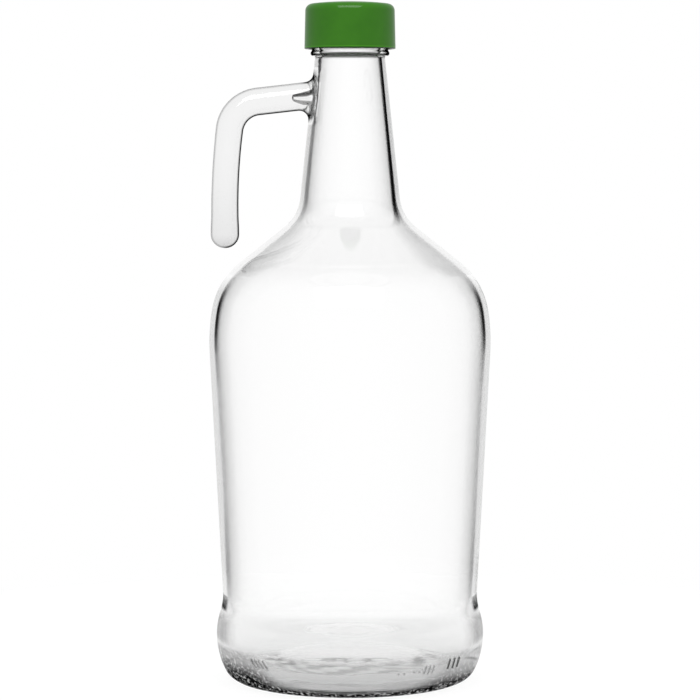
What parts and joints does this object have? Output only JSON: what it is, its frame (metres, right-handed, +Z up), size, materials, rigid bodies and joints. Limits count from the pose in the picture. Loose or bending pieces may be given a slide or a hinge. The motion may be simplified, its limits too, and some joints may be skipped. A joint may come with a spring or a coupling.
{
  "type": "glass jug",
  "caption": "Clear glass jug with a narrow neck, an open hook handle at the neck and a green plastic screw cap.",
  "frame": {"origin": "centre of the base, on the surface that the jug stands on", "axes": "+Z up along the jug's axis; the handle hangs on the -X side of the neck; +Y away from the front"},
  "size_m": [0.1266, 0.1266, 0.3052],
  "materials": {
    "glass": "clear, polished",
    "cap": "moulded, semi-gloss"
  },
  "bodies": {
    "root": {"jug": "glass", "cap": "cap"}
  },
  "joints": []
}
